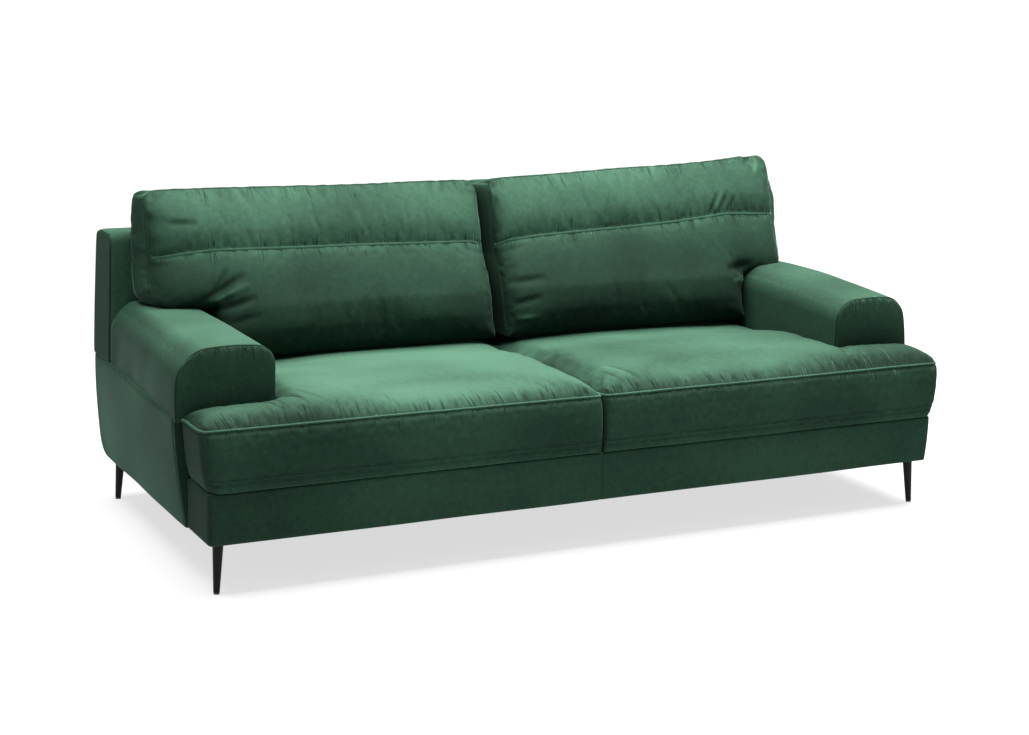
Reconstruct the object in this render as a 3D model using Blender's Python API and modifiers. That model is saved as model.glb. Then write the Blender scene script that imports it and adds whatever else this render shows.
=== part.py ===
"""A velvet sofa with two seat cushions, two back cushions and four slim turned legs, built piece by piece.

Metres. +X is to the right seen from the front, the front faces -Y, +Z is up, and the origin is on the floor
under the middle of the body.
"""

import math

import bmesh
import bpy
from mathutils import Matrix

# Driving dimensions of the whole sofa.
HALF_WIDTH = 1.100  # outer ends of the seat cushions
FRONT = -0.5075  # front face of the seat cushions
REAR = 0.5075  # rear face of the back at arm height
UNDERSIDE = 0.130  # lower edge of the upholstered body, so also the height of the legs
PLINTH_TOP = 0.2565
SEAT_TOP = 0.455
SEAM_HEIGHT = 0.410  # seam that runs round the outside, between side panels and arms
ARM_TOP = 0.574
BACK_TOP = 0.765  # top of the fixed back frame
CUSHION_TOP = 0.900  # top of the loose back cushions

# How the sheet goods are made.
GAP = 0.0005  # clearance between neighbouring pieces
FABRIC = 0.003  # velvet with its stitched-on backing
WRAP = 0.015  # foam around the arms and the back frame
BOARD = 0.018
RAIL = 0.022

# Base.
PLINTH_HALF = 1.060
PLINTH_FRONT = FRONT + 0.012
PLINTH_CORNER = 0.025
FRAME_HALF = 1.050
FRAME_REAR = 0.422
RAIL_BOTTOM = UNDERSIDE + 0.0055
RAIL_TOP = PLINTH_TOP - 0.0015

# Legs, measured along the floor and at their upper ends.
LEG_FOOT_X = 1.040
LEG_FRONT_Y = -0.4635
LEG_REAR_Y = 0.4305
LEG_SPLAY = math.tan(math.radians(3.6))
LEG_TOP_RADIUS = 0.014
LEG_FOOT_RADIUS = 0.008
GLIDE_HEIGHT = 0.004
PLATE_SIZE = 0.060

# Arms and side panels.
ARM_INNER = 0.842
ARM_OUTER = 1.085
ARM_FRONT = -0.3375
ARM_REAR = 0.344
ARM_ROUNDING = 0.035
SIDE_FRONT = -0.320
SIDE_LOW_X = 1.070
SIDE_HIGH_X = 1.099
HEEL_RADIUS = 0.063  # rounded lower rear corner, seen from the side

# Back frame and cushions.
BACK_HALF = 1.070  # at its top; at the seam it is as wide as the side panels
BACK_FRONT = ARM_REAR + GAP
BACK_TOP_REAR = 0.4895
CUSHION_SPLIT = 0.003  # half of the gap between the left and the right cushion
SEAT_REAR = 0.300
CUSHION_LIFT = 0.002  # the leaning front wall of a back cushion ends this far above the seat
SEAT_ROUNDING = 0.030
EAR_BOTTOM = 0.600  # the back cushions widen above the arms
EAR_END = 0.995
CUSHION_ROUNDING = 0.032
# Front of a back cushion, from its foot to its top: height and y.
CUSHION_FRONT = ((SEAT_TOP, 0.062), (EAR_BOTTOM, 0.130), (0.73, 0.192), (0.80, 0.212), (CUSHION_TOP, 0.262))

SIDES = {"left": -1, "right": 1}

for leftover in list(bpy.data.objects):
    bpy.data.objects.remove(leftover)
sofa = bpy.data.collections.new("velvet_sofa")
bpy.context.scene.collection.children.link(sofa)


def material(name, colour, roughness, metallic=0.0):
    made = bpy.data.materials.new(name)
    made.use_nodes = True
    shader = made.node_tree.nodes["Principled BSDF"]
    shader.inputs["Base Color"].default_value = (*colour, 1.0)
    shader.inputs["Roughness"].default_value = roughness
    shader.inputs["Metallic"].default_value = metallic
    return made


VELVET = material("green_velvet", (0.022, 0.105, 0.060), 0.85)
BLACK_WOOD = material("black_lacquered_wood", (0.012, 0.012, 0.013), 0.38)
BEECH = material("beech", (0.62, 0.44, 0.27), 0.60)
PLYWOOD = material("plywood", (0.66, 0.50, 0.33), 0.65)
STEEL = material("steel", (0.45, 0.45, 0.46), 0.35, 1.0)
FOAM = material("foam", (0.82, 0.77, 0.58), 0.95)
FELT = material("felt", (0.35, 0.34, 0.33), 0.95)
WEBBING = material("elastic_webbing", (0.08, 0.08, 0.09), 0.85)
NONWOVEN = material("black_nonwoven", (0.02, 0.02, 0.02), 0.90)


def add(name, mesh, finish, smooth=False):
    """Turns a bmesh into a named object of the sofa."""
    bmesh.ops.recalc_face_normals(mesh, faces=mesh.faces)
    data = bpy.data.meshes.new(name)
    mesh.to_mesh(data)
    mesh.free()
    if smooth:
        data.shade_smooth()
        data.set_sharp_from_angle(angle=math.radians(40))
    data.materials.append(finish)
    piece = bpy.data.objects.new(name, data)
    sofa.objects.link(piece)
    return piece


def bevel(piece, radius, segments=3):
    rounding = piece.modifiers.new("Rounding", "BEVEL")
    rounding.width = radius
    rounding.segments = segments
    rounding.limit_method = "ANGLE"
    rounding.angle_limit = math.radians(40)


def solidify(piece, thickness):
    wall = piece.modifiers.new("Wall", "SOLIDIFY")
    wall.thickness = thickness
    wall.offset = -1.0
    wall.use_even_offset = True


def block(name, x, y, z, finish):
    """A plain board or pad between two values on each axis."""
    mesh = bmesh.new()
    bmesh.ops.create_cube(mesh, size=1.0)
    for vert in mesh.verts:
        vert.co.x = x[1] if vert.co.x > 0 else x[0]
        vert.co.y = y[1] if vert.co.y > 0 else y[0]
        vert.co.z = z[1] if vert.co.z > 0 else z[0]
    return add(name, mesh, finish)


def prism(outline, plane, start, end):
    """A bmesh of a flat outline, drawn in plane XY, XZ or YZ and drawn out along the third axis."""
    curve = bpy.data.curves.new("outline", "CURVE")
    curve.dimensions = "2D"
    curve.fill_mode = "BOTH"
    curve.extrude = (end - start) / 2
    spline = curve.splines.new("POLY")
    spline.points.add(len(outline) - 1)
    for point, (across, along) in zip(spline.points, outline):
        point.co = (across, along, 0.0, 1.0)
    spline.use_cyclic_u = True
    drawn = bpy.data.objects.new("outline", curve)
    bpy.context.scene.collection.objects.link(drawn)
    graph = bpy.context.evaluated_depsgraph_get()
    flat = bpy.data.meshes.new_from_object(drawn.evaluated_get(graph))
    mesh = bmesh.new()
    mesh.from_mesh(flat)
    bpy.data.objects.remove(drawn)
    bpy.data.meshes.remove(flat)
    bmesh.ops.remove_doubles(mesh, verts=mesh.verts, dist=1e-5)
    bmesh.ops.dissolve_limit(mesh, angle_limit=math.radians(0.5), verts=mesh.verts, edges=mesh.edges)
    middle = (start + end) / 2
    order = {"XY": (0, 1, 2), "XZ": (0, 2, 1), "YZ": (2, 0, 1)}[plane]
    for vert in mesh.verts:
        drawn_at = (vert.co.x, vert.co.y, vert.co.z + middle)
        vert.co = [drawn_at[i] for i in order]
    bmesh.ops.recalc_face_normals(mesh, faces=mesh.faces)
    return mesh


def open_below(mesh):
    """Takes the lowest faces away, so that the form becomes a cover that is pulled on from above."""
    floor = min(vert.co.z for vert in mesh.verts)
    lowest = [face for face in mesh.faces if all(vert.co.z < floor + 1e-4 for vert in face.verts)]
    bmesh.ops.delete(mesh, geom=lowest, context="FACES")
    return mesh


def cover(name, mesh, finish, rounding, thickness):
    piece = add(name, open_below(mesh), finish)
    bevel(piece, rounding)
    solidify(piece, thickness)
    return piece


def legs_and_feet():
    """Four straight tapered legs that lean outwards, each with its glide and its mounting plate."""
    height = UNDERSIDE - GLIDE_HEIGHT - GAP
    lean = LEG_SPLAY * height
    for end, foot_y in (("front", LEG_FRONT_Y), ("rear", LEG_REAR_Y)):
        outward = -1 if end == "front" else 1
        for side, sign in SIDES.items():
            mesh = bmesh.new()
            bmesh.ops.create_cone(
                mesh, cap_ends=True, segments=24, radius1=LEG_FOOT_RADIUS, radius2=LEG_TOP_RADIUS, depth=height
            )
            for vert in mesh.verts:
                climbed = vert.co.z / height + 0.5
                vert.co.x += sign * (LEG_FOOT_X - lean * climbed)
                vert.co.y += foot_y - outward * lean * climbed
                vert.co.z += height / 2 + GLIDE_HEIGHT + GAP
            add(f"leg_{end}_{side}", mesh, BLACK_WOOD, smooth=True)

            mesh = bmesh.new()
            foot = Matrix.Translation((sign * LEG_FOOT_X, foot_y, GLIDE_HEIGHT / 2))
            radius = LEG_FOOT_RADIUS - 0.0005
            bmesh.ops.create_cone(
                mesh, cap_ends=True, segments=24, radius1=radius, radius2=radius, depth=GLIDE_HEIGHT, matrix=foot
            )
            add(f"glide_{end}_{side}", mesh, FELT, smooth=True)

            plate_edge = PLINTH_FRONT + 0.020 if end == "front" else FRAME_REAR - 0.001
            across = sorted((sign * (FRAME_HALF - 0.008 - PLATE_SIZE), sign * (FRAME_HALF - 0.008)))
            along = sorted((plate_edge, plate_edge - outward * PLATE_SIZE))
            heights = (UNDERSIDE + GAP, UNDERSIDE + GAP + 0.003)
            block(f"leg_plate_{end}_{side}", across, along, heights, STEEL)


def base_frame():
    """Rails, corner blocks, seat springs with their felt, and the cloth under them."""
    inner = FRAME_HALF - RAIL
    front = PLINTH_FRONT + FABRIC + GAP
    heights = (RAIL_BOTTOM, RAIL_TOP)
    block("rail_front", (-inner + GAP, inner - GAP), (front, front + RAIL), heights, BEECH)
    block("rail_rear", (-inner + GAP, inner - GAP), (FRAME_REAR - RAIL, FRAME_REAR), heights, BEECH)
    for side, sign in SIDES.items():
        across = sorted((sign * inner, sign * FRAME_HALF))
        block(f"rail_{side}", across, (front + RAIL, FRAME_REAR), heights, BEECH)
    inside_front = front + RAIL + GAP
    inside_rear = FRAME_REAR - RAIL - GAP
    block("rail_centre", (-RAIL, RAIL), (inside_front, inside_rear), (RAIL_BOTTOM, RAIL_TOP - 0.020), BEECH)

    reach = 0.100
    block_height = 0.040
    for end, corner_y, inward in (("front", inside_front, 1), ("rear", inside_rear, -1)):
        for side, sign in SIDES.items():
            corner_x = sign * (inner - GAP)
            outline = (
                (corner_x, corner_y),
                (corner_x - sign * reach, corner_y),
                (corner_x, corner_y + inward * reach),
            )
            mesh = prism(outline, "XY", RAIL_BOTTOM, RAIL_BOTTOM + block_height)
            add(f"corner_block_{end}_{side}", mesh, BEECH)

    spring_height = RAIL_TOP - 0.0085
    for number in range(6):
        x = (number - 2.5) * 0.34
        sinuous_spring(f"seat_spring_{number + 1}", x, inside_front + 0.003, inside_rear - 0.003, spring_height)
    block("spring_felt", (-inner + GAP, inner - GAP), (inside_front, inside_rear), (RAIL_TOP - 0.0045, RAIL_TOP), FELT)
    block(
        "dust_cloth",
        (-inner, inner),
        (front + FABRIC, FRAME_REAR),
        (RAIL_BOTTOM - 0.0015, RAIL_BOTTOM - GAP),
        NONWOVEN,
    )


def sinuous_spring(name, x, start, end, height):
    """A zigzag seat spring of round wire that runs from the front rail to the rear rail."""
    wire = 0.002
    swing = 0.024
    waves = 12
    steps = waves * 4
    curve = bpy.data.curves.new(name, "CURVE")
    curve.dimensions = "3D"
    curve.bevel_depth = wire
    curve.bevel_resolution = 0
    curve.use_fill_caps = True
    spline = curve.splines.new("POLY")
    spline.points.add(steps)
    for step, point in enumerate(spline.points):
        along = step / steps
        sideways = swing * math.sin(2 * math.pi * waves * along)
        point.co = (x + sideways, start + (end - start) * along, height, 1.0)
    curve.materials.append(STEEL)
    spring = bpy.data.objects.new(name, curve)
    sofa.objects.link(spring)


def plinth():
    """Velvet pulled round the front of the base frame and a short way along both sides."""
    mesh = bmesh.new()
    bmesh.ops.create_cube(mesh, size=1.0)
    gone = [face for face in mesh.faces if abs(face.normal.z) > 0.5 or face.normal.y > 0.5]
    bmesh.ops.delete(mesh, geom=gone, context="FACES")
    for vert in mesh.verts:
        vert.co.x *= 2 * PLINTH_HALF
        vert.co.y = SIDE_FRONT - GAP if vert.co.y > 0 else PLINTH_FRONT
        vert.co.z = PLINTH_TOP if vert.co.z > 0 else UNDERSIDE
    data = bpy.data.meshes.new("plinth_cover")
    mesh.to_mesh(data)
    mesh.free()
    data.materials.append(VELVET)
    piece = bpy.data.objects.new("plinth_cover", data)
    sofa.objects.link(piece)
    bevel(piece, PLINTH_CORNER, 4)
    solidify(piece, FABRIC)


def rear_curve(inset=0.0):
    """The rear of the body seen from the side, from under the heel up to the seam: (y, z) points."""
    centre_y = 0.4255
    radius = HEEL_RADIUS - inset
    points = []
    for step in range(7):
        turn = math.radians(-90 + 84 * step / 6)
        y = centre_y + radius * math.cos(turn)
        z = UNDERSIDE + HEEL_RADIUS + radius * math.sin(turn)
        points.append((y, z))
    points.append((REAR - inset, SEAM_HEIGHT - GAP))
    return points


def side_panels():
    """The padded panels under the arms, which lean outwards and end in a rounded heel."""
    outline = [*rear_curve(), (SIDE_FRONT, SEAM_HEIGHT - GAP), (SIDE_FRONT, UNDERSIDE)]
    inner = FRAME_HALF + GAP
    for side, sign in SIDES.items():
        across = sorted((sign * inner, sign * SIDE_HIGH_X))
        mesh = prism(outline, "YZ", *across)
        for vert in mesh.verts:
            if abs(vert.co.x) > inner + 0.001:
                raised = (vert.co.z - UNDERSIDE) / (SEAM_HEIGHT - UNDERSIDE)
                vert.co.x = sign * (SIDE_LOW_X + (SIDE_HIGH_X - SIDE_LOW_X) * raised)
        add(f"side_panel_{side}", mesh, VELVET)


def rear_panel():
    """Fabric on board across the lower back, between the side panels."""
    wall = 0.005
    outer = rear_curve()
    inner = rear_curve(wall)
    mesh = prism([*outer, *reversed(inner)], "YZ", -FRAME_HALF, FRAME_HALF)
    add("rear_panel", mesh, VELVET)


def arm_outline(inset):
    """The section of the right arm: (x, z) points. Its foot rises with the inset, clear of the side panel."""
    foot = SEAM_HEIGHT + inset
    return (
        (ARM_INNER + inset, foot),
        (ARM_INNER + inset, ARM_TOP - inset),
        (ARM_OUTER - inset, ARM_TOP - inset),
        (SIDE_HIGH_X - inset, foot),
    )


def arms():
    """Each arm: three boards, a foam wrap and the velvet over it."""
    for side, sign in SIDES.items():
        outer_layers = (
            (f"arm_cover_{side}", VELVET, 0.0, FABRIC),
            (f"arm_foam_{side}", FOAM, FABRIC + GAP, WRAP),
        )
        for name, finish, inset, thickness in outer_layers:
            outline = [(sign * x, z) for x, z in arm_outline(inset)]
            mesh = prism(outline, "XZ", ARM_FRONT + inset, ARM_REAR - inset)
            cover(name, mesh, finish, ARM_ROUNDING - inset, thickness)

        length = (ARM_FRONT + 0.0375, ARM_REAR - 0.0375)
        heights = (RAIL_TOP + GAP, ARM_TOP - 0.038)
        inner_board = ARM_INNER + FABRIC + WRAP + 2 * GAP
        outer_board = FRAME_HALF - RAIL + GAP
        for place, near in (("inner", inner_board), ("outer", outer_board)):
            across = sorted((sign * near, sign * (near + BOARD)))
            block(f"arm_{place}_board_{side}", across, length, heights, PLYWOOD)
        between = sorted((sign * (inner_board + BOARD + GAP), sign * (outer_board - GAP)))
        block(f"arm_top_board_{side}", between, length, (heights[1] - BOARD, heights[1]), PLYWOOD)


def back_outline(inset):
    """The section of the fixed back: (y, z) points."""
    foot = SEAM_HEIGHT + inset
    return (
        (BACK_FRONT + inset, foot),
        (BACK_FRONT + inset, BACK_TOP - inset),
        (BACK_TOP_REAR - inset, BACK_TOP - inset),
        (REAR - 0.005 - inset, 0.600),
        (REAR - inset, foot),
    )


def back_frame():
    """Posts, rails and webbing of the fixed back, with foam and velvet around them."""
    rounding = 0.022
    for name, finish, inset, thickness in (
        ("back_cover", VELVET, 0.0, FABRIC),
        ("back_foam", FOAM, FABRIC + GAP, WRAP),
    ):
        mesh = prism(back_outline(inset), "YZ", -1.0, 1.0)
        for vert in mesh.verts:
            raised = (vert.co.z - SEAM_HEIGHT) / (BACK_TOP - SEAM_HEIGHT)
            half = SIDE_HIGH_X + (BACK_HALF - SIDE_HIGH_X) * raised
            vert.co.x *= half - inset
        cover(name, mesh, finish, rounding - inset, thickness)

    post_y = (BACK_FRONT + 0.040, BACK_FRONT + 0.100)
    post_z = (RAIL_TOP + GAP, BACK_TOP - 0.030)
    post = 0.040
    outer_post = 1.000
    places = {"left": -outer_post, "centre": 0.0, "right": outer_post}
    for place, x in places.items():
        block(f"back_post_{place}", (x - post / 2, x + post / 2), post_y, post_z, BEECH)
    rail_ends = (-outer_post - post / 2, outer_post + post / 2)
    block("back_top_rail", rail_ends, (post_y[1] + GAP, post_y[1] + RAIL), (post_z[1] - 0.060, post_z[1]), BEECH)
    block("back_lower_rail", rail_ends, (post_y[1] + GAP, post_y[1] + RAIL), (0.430, 0.490), BEECH)
    strap = (post_y[0] - GAP - 0.002, post_y[0] - GAP)
    for number, low in enumerate((0.470, 0.600)):
        block(f"back_webbing_{number + 1}", rail_ends, strap, (low, low + 0.060), WEBBING)


def seat_outline(inset):
    """A seat cushion seen from above: it runs in front of the arm, and back beside it. For the right side."""
    notch_x = ARM_INNER - 3 * GAP
    notch_y = ARM_FRONT - 2 * GAP
    return (
        (CUSHION_SPLIT + inset, FRONT + inset),
        (HALF_WIDTH - inset, FRONT + inset),
        (HALF_WIDTH - inset, notch_y - inset),
        (notch_x - inset, notch_y - inset),
        (notch_x - inset, SEAT_REAR - inset),
        (CUSHION_SPLIT + inset, SEAT_REAR - inset),
    )


def seat_cushions():
    foot = PLINTH_TOP + 2 * GAP
    for side, sign in SIDES.items():
        outline = [(sign * x, y) for x, y in seat_outline(0.0)]
        mesh = prism(outline, "XY", foot, SEAT_TOP)
        cover(f"seat_cover_{side}", mesh, VELVET, SEAT_ROUNDING, FABRIC)

        inset = FABRIC + GAP
        outline = [(sign * x, y) for x, y in seat_outline(inset)]
        mesh = prism(outline, "XY", foot, SEAT_TOP - inset)
        core = add(f"seat_core_{side}", mesh, FOAM)
        bevel(core, SEAT_ROUNDING - inset)


def cushion_front(height):
    """How far forward a back cushion reaches at a height, on straight stretches between its points."""
    for (low, near), (high, far) in zip(CUSHION_FRONT, CUSHION_FRONT[1:]):
        if height <= high:
            return near + (far - near) * (height - low) / (high - low)
    return CUSHION_FRONT[-1][1]


def back_cushion_form(sign, inset, foot):
    arm_side = ARM_INNER - 3 * GAP
    outline = (
        (CUSHION_SPLIT + inset, foot),
        (arm_side - inset, foot),
        (arm_side - inset, EAR_BOTTOM + inset),
        (EAR_END - inset, EAR_BOTTOM + inset),
        (EAR_END - inset, CUSHION_TOP - inset),
        (CUSHION_SPLIT + inset, CUSHION_TOP - inset),
    )
    mesh = prism([(sign * x, z) for x, z in outline], "XZ", 0.0, 1.0)
    for height, _ in CUSHION_FRONT[2:-1]:
        whole = [*mesh.verts, *mesh.edges, *mesh.faces]
        bmesh.ops.bisect_plane(mesh, geom=whole, plane_co=(0.0, 0.0, height), plane_no=(0.0, 0.0, 1.0), dist=1e-5)
    for vert in mesh.verts:
        rear = vert.co.y > 0.5
        vert.co.y = BACK_FRONT - 2 * GAP - inset if rear else cushion_front(vert.co.z) + inset
    return mesh


def back_cushions():
    foot = SEAT_TOP + CUSHION_LIFT
    for side, sign in SIDES.items():
        cover(f"back_cushion_cover_{side}", back_cushion_form(sign, 0.0, foot), VELVET, CUSHION_ROUNDING, FABRIC)
        inset = FABRIC + 2 * GAP
        core = add(f"back_cushion_core_{side}", back_cushion_form(sign, inset, foot), FOAM)
        bevel(core, CUSHION_ROUNDING - inset)


legs_and_feet()
base_frame()
plinth()
side_panels()
rear_panel()
arms()
back_frame()
seat_cushions()
back_cushions()
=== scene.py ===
"""The looks of the green velvet sofa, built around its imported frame.

Every upholstered piece starts as a grid of quads over its CAD solid. The grid is shaped, the loose cushions
are inflated by cloth simulation with their seams held, and then gathers, welts and stitches are added along
the seams.
"""

import math

import bpy
import numpy as np
from mathutils import Matrix, Vector, noise


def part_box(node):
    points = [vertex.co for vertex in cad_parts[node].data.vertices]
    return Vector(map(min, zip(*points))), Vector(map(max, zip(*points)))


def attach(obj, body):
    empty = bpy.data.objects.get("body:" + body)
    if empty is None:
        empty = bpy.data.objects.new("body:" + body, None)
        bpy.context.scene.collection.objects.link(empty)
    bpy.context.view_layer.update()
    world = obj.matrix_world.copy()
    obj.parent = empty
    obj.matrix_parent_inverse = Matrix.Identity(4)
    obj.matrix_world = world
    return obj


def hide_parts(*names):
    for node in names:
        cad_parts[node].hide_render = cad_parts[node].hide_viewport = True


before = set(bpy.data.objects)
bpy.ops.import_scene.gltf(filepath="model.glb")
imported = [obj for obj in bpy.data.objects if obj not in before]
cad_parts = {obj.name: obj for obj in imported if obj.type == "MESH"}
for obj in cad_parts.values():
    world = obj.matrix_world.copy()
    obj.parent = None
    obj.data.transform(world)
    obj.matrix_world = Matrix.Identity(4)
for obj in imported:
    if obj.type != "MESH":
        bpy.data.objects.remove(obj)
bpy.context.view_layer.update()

SIDES = {"left": -1, "right": 1}
X, Y, Z = range(3)


# ---------------------------------------------------------------- nodes

class Nodes:
    """Short ways to add nodes to one tree. An input takes a plain value or another node's output."""

    def __init__(self, tree):
        self.tree = tree

    def feed(self, sockets, values):
        for name, value in dict(values).items():
            if isinstance(value, bpy.types.NodeSocket):
                self.tree.links.new(value, sockets[name])
            else:
                sockets[name].default_value = value

    def add(self, kind, values=(), output=0, **settings):
        node = self.tree.nodes.new(kind)
        for key, setting in settings.items():
            setattr(node, key, setting)
        self.feed(node.inputs, values)
        return node.outputs[output]

    def place(self, kind="Object"):
        return self.add("ShaderNodeTexCoord", output=kind)

    def attribute(self, name):
        return self.add("ShaderNodeAttribute", output="Fac", attribute_name=name)

    def noise(self, place, scale, detail, roughness=0.5):
        values = {"Vector": place, "Scale": scale, "Detail": detail, "Roughness": roughness}
        return self.add("ShaderNodeTexNoise", values)

    def maths(self, operation, *values):
        return self.add("ShaderNodeMath", enumerate(values), operation=operation)

    def mixed(self, first, second, share):
        return self.add("ShaderNodeMix", {"A": first, "B": second, "Factor": share}, data_type="FLOAT")

    def span(self, value, low, high, first=0.0, last=1.0, steps="LINEAR"):
        """Carries the value from the range low to high over to the range first to last."""
        values = {"Value": value, "From Min": low, "From Max": high, "To Min": first, "To Max": last}
        return self.add("ShaderNodeMapRange", values, interpolation_type=steps)

    def tones(self, value, *stops, steps="LINEAR"):
        """A colour that follows the value from stop to stop, each a position and a colour."""
        colour = self.add("ShaderNodeValToRGB", {"Fac": value})
        ramp = colour.node.color_ramp
        ramp.interpolation = steps
        for number, (position, tone) in enumerate(stops):
            stop = ramp.elements[number] if number < 2 else ramp.elements.new(position)
            stop.position = position
            stop.color = (*tone, 1.0)
        return colour

    def bump(self, height, strength, depth, **settings):
        values = {"Height": height, "Strength": strength, "Distance": depth}
        return self.add("ShaderNodeBump", values, **settings)


def new_material(name):
    """A material, its nodes, and the inputs of its Principled shader."""
    material = bpy.data.materials.new(name)
    material.use_nodes = True
    return material, Nodes(material.node_tree), material.node_tree.nodes["Principled BSDF"].inputs


# ---------------------------------------------------------------- camera, floor and light

# The camera's turn to the right, its tilt down and its roll, in degrees.
CAMERA_TURNS = (26.8053, 12.2011, 1.1914)
CAMERA_PLACE = (-2.38653, -4.69954, 1.52344)
CAMERA_LENS = 66.76
WHITE = (1.0, 1.0, 1.0, 1.0)
FLOOR_WHITE = (0.22, 0.22, 0.22, 1.0)
# How far from the middle the floor's glow starts to rise and is full, and how strong it is there.
FLOOR_GLOW = (1.2, 4.5, 0.68, 1.05)
# Heights between which the dome brightens, and its strength at both. The camera sees it plain white.
DOME_GLOW = (0.45, 1.0, 0.20, 1.0)
DOME_SEEN = 1.1
# Each softbox hangs level: place, size and power.
SOFTBOXES = {
    "overhead_right": ((1.4, 0.20, 3.0), (2.8, 2.2), 340.0),
    "overhead_left": ((-1.0, 0.15, 3.0), (2.8, 2.2), 215.0),
}


def add_camera():
    """A 67 mm view from the front left, a little above the back, turned a touch off level."""
    yaw, pitch, roll = (math.radians(angle) for angle in CAMERA_TURNS)
    ahead = Vector((math.sin(yaw) * math.cos(pitch), math.cos(yaw) * math.cos(pitch), -math.sin(pitch)))
    level_right = Vector((math.cos(yaw), -math.sin(yaw), 0.0))
    level_up = level_right.cross(ahead)
    right = level_right * math.cos(roll) + level_up * math.sin(roll)
    up = level_up * math.cos(roll) - level_right * math.sin(roll)
    data = bpy.data.cameras.new("camera")
    data.sensor_width = 36.0
    data.sensor_fit = "HORIZONTAL"
    data.lens = CAMERA_LENS
    camera = bpy.data.objects.new("camera", data)
    bpy.context.scene.collection.objects.link(camera)
    turn = Matrix((right, up, -ahead)).transposed().to_4x4()
    camera.matrix_world = Matrix.Translation(CAMERA_PLACE) @ turn
    bpy.context.scene.camera = camera


def add_softbox(name, place, size, power):
    data = bpy.data.lights.new(name, "AREA")
    data.shape = "RECTANGLE"
    data.size, data.size_y = size
    data.energy = power
    light = bpy.data.objects.new(name, data)
    light.location = place
    bpy.context.scene.collection.objects.link(light)


def add_floor():
    """A seamless white floor, partly lit from below like a studio light table, so that shadows stay pale."""
    bpy.ops.mesh.primitive_plane_add(size=600.0, location=(0.0, 0.0, 0.0))
    floor = bpy.context.object
    floor.name = "studio_floor"
    material, nodes, shader = new_material("studio_floor")
    away = nodes.add("ShaderNodeVectorMath", {0: nodes.place()}, "Value", operation="LENGTH")
    nodes.feed(shader, {
        "Base Color": FLOOR_WHITE,
        "Roughness": 0.9,
        "Specular IOR Level": 0.0,
        "Emission Color": WHITE,
        "Emission Strength": nodes.span(away, *FLOOR_GLOW, steps="SMOOTHSTEP"),
    })
    floor.data.materials.append(material)


def add_dome():
    """A white studio whose light comes mostly from above: bright overhead and dim near the floor."""
    world = bpy.data.worlds.new("studio")
    world.use_nodes = True
    nodes = Nodes(world.node_tree)
    height = nodes.add("ShaderNodeSeparateXYZ", {"Vector": nodes.place("Generated")}, "Z")
    light = nodes.span(height, *DOME_GLOW, steps="SMOOTHSTEP")
    seen = nodes.add("ShaderNodeLightPath", output="Is Camera Ray")
    strength = nodes.mixed(light, DOME_SEEN, seen)
    nodes.feed(world.node_tree.nodes["Background"].inputs, {"Strength": strength, "Color": WHITE})
    bpy.context.scene.world = world
    bpy.context.scene.view_settings.view_transform = "Standard"


# ---------------------------------------------------------------- materials

VELVET_BASE = (0.0160, 0.0460, 0.0275)
SHEEN_TINT = (0.50, 0.92, 0.72, 1.0)
SHEEN = 0.30
SHEEN_ROUGHNESS = 0.20
# Base colour where the painted shade is darkest and the painted light palest, and the whitish wash of painted
# sheen on the palest.
PAINTED_SHADE_DARK = 0.30
PAINTED_LIGHT_PALE = 1.9
PAINTED_SHEEN_WASH = 0.012
# Creases at the gathered seams: how close, how much painted shade darkens them and how deep.
PLEATS_A_METRE = 82.0
CREASE_SHADE = 0.42
CREASE_DEPTH = 0.0026


def crease_lines(nodes):
    """Thin creases across a gathered seam, drawn as bumps with painted shade in them: 1 in a crease and 0
    beside it.

    Each gathered piece stores the place along its seam in metres, and how near the seam is, from 0 to 1."""
    near = nodes.attribute("pleat_near")
    along = nodes.maths("MULTIPLY", nodes.attribute("pleat_along"), PLEATS_A_METRE)
    place = nodes.add("ShaderNodeCombineXYZ", {"X": along, "Y": nodes.maths("MULTIPLY", near, 0.55)})
    aside = nodes.maths("ABSOLUTE", nodes.maths("SUBTRACT", nodes.noise(place, 1.0, 0.0), 0.5))
    line = nodes.span(aside, 0.0, 0.055, 1.0, 0.0)
    end = nodes.span(nodes.noise(place, 0.37, 1.0), 0.36, 0.66, 0.05, 0.95)
    fade = nodes.span(nodes.maths("SUBTRACT", near, end), 0.0, 0.40)
    return nodes.maths("MULTIPLY", line, fade)


def velvet(name, base=VELVET_BASE, sheen=SHEEN):
    """Short-pile velvet: dark base, pale sheen, soft mottling, painted light and shade from each piece,
    creases painted darker, and a fine grain.
    """
    material, nodes, shader = new_material(name)
    place = nodes.place()
    brushed = nodes.noise(place, 3.2, 4.0, 0.55)
    uneven = nodes.mixed(brushed, nodes.noise(place, 70.0, 4.0, 0.6), 0.40)
    painted_light_and_shade = nodes.attribute("painted_light_and_shade")
    crease = crease_lines(nodes)
    # Each piece's painted light and shade, with a random mottling on top.
    painted_light_level = nodes.maths("MULTIPLY_ADD", painted_light_and_shade, 0.5, uneven)
    # Painted shade: the creases are made darker.
    shaded = nodes.maths("MULTIPLY_ADD", crease, -CREASE_SHADE, painted_light_level)
    # The darkest and palest base colours stand for painted shade and painted light.
    dark = [value * PAINTED_SHADE_DARK for value in base]
    pale = [value * PAINTED_LIGHT_PALE + PAINTED_SHEEN_WASH for value in base]
    grain = nodes.mixed(nodes.noise(place, 1100.0, 2.0), nodes.noise(place, 130.0, 3.0), 0.5)
    relief = nodes.bump(grain, 0.22, 0.0009)
    nodes.feed(relief.node.inputs, {"Normal": nodes.bump(crease, 0.8, CREASE_DEPTH, invert=True)})
    nodes.feed(shader, {
        "Base Color": nodes.tones(shaded, (0.0, dark), (0.5, base), (1.0, pale), steps="B_SPLINE"),
        "Normal": relief,
        "Roughness": nodes.span(brushed, 0.0, 1.0, 0.78, 0.95),
        "Specular IOR Level": 0.08,
        # The sheen is weaker where the painted shade is darkest.
        "Sheen Weight": nodes.span(painted_light_and_shade, -1.0, -0.7, 0.4 * sheen, sheen),
        "Sheen Roughness": SHEEN_ROUGHNESS,
        "Sheen Tint": SHEEN_TINT,
    })
    return material


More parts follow.
